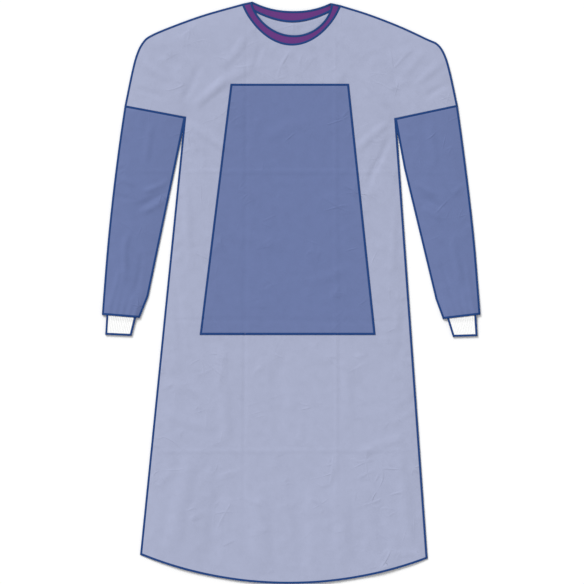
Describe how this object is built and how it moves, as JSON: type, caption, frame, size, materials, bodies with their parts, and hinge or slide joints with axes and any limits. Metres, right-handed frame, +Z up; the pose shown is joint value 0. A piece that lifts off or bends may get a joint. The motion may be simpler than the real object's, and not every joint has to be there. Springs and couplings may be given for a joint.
{
  "type": "surgical gown",
  "caption": "Long-sleeved surgical gown laid flat on its back, front up, with a darker chest panel and lower sleeves, bound round neck, knit cuffs and curved hem.",
  "frame": {"origin": "middle of the gown's box, on the surface that it lies on", "axes": "+X to the wearer's left, +Y from the hem up to the neck, +Z up off the surface, out of the gown's front"},
  "size_m": [0.8135, 1.251, 0.0072],
  "materials": {
    "body_cloth": "light periwinkle spunbond nonwoven, matt, with fine bond points",
    "panel_cloth": "darker blue reinforced nonwoven, matt and a little smoother",
    "rib_knit": "white rib knit, matt",
    "binding": "purple folded binding tape, matt"
  },
  "bodies": {
    "root": {"front": "body_cloth", "back_left": "body_cloth", "back_right": "body_cloth", "chest_panel": "panel_cloth", "sleeve_right": "panel_cloth", "sleeve_left": "panel_cloth", "cuff_right": "rib_knit", "cuff_left": "rib_knit", "neck_band_front": "binding", "neck_band_back_left": "binding", "neck_band_back_right": "binding"}
  },
  "joints": []
}
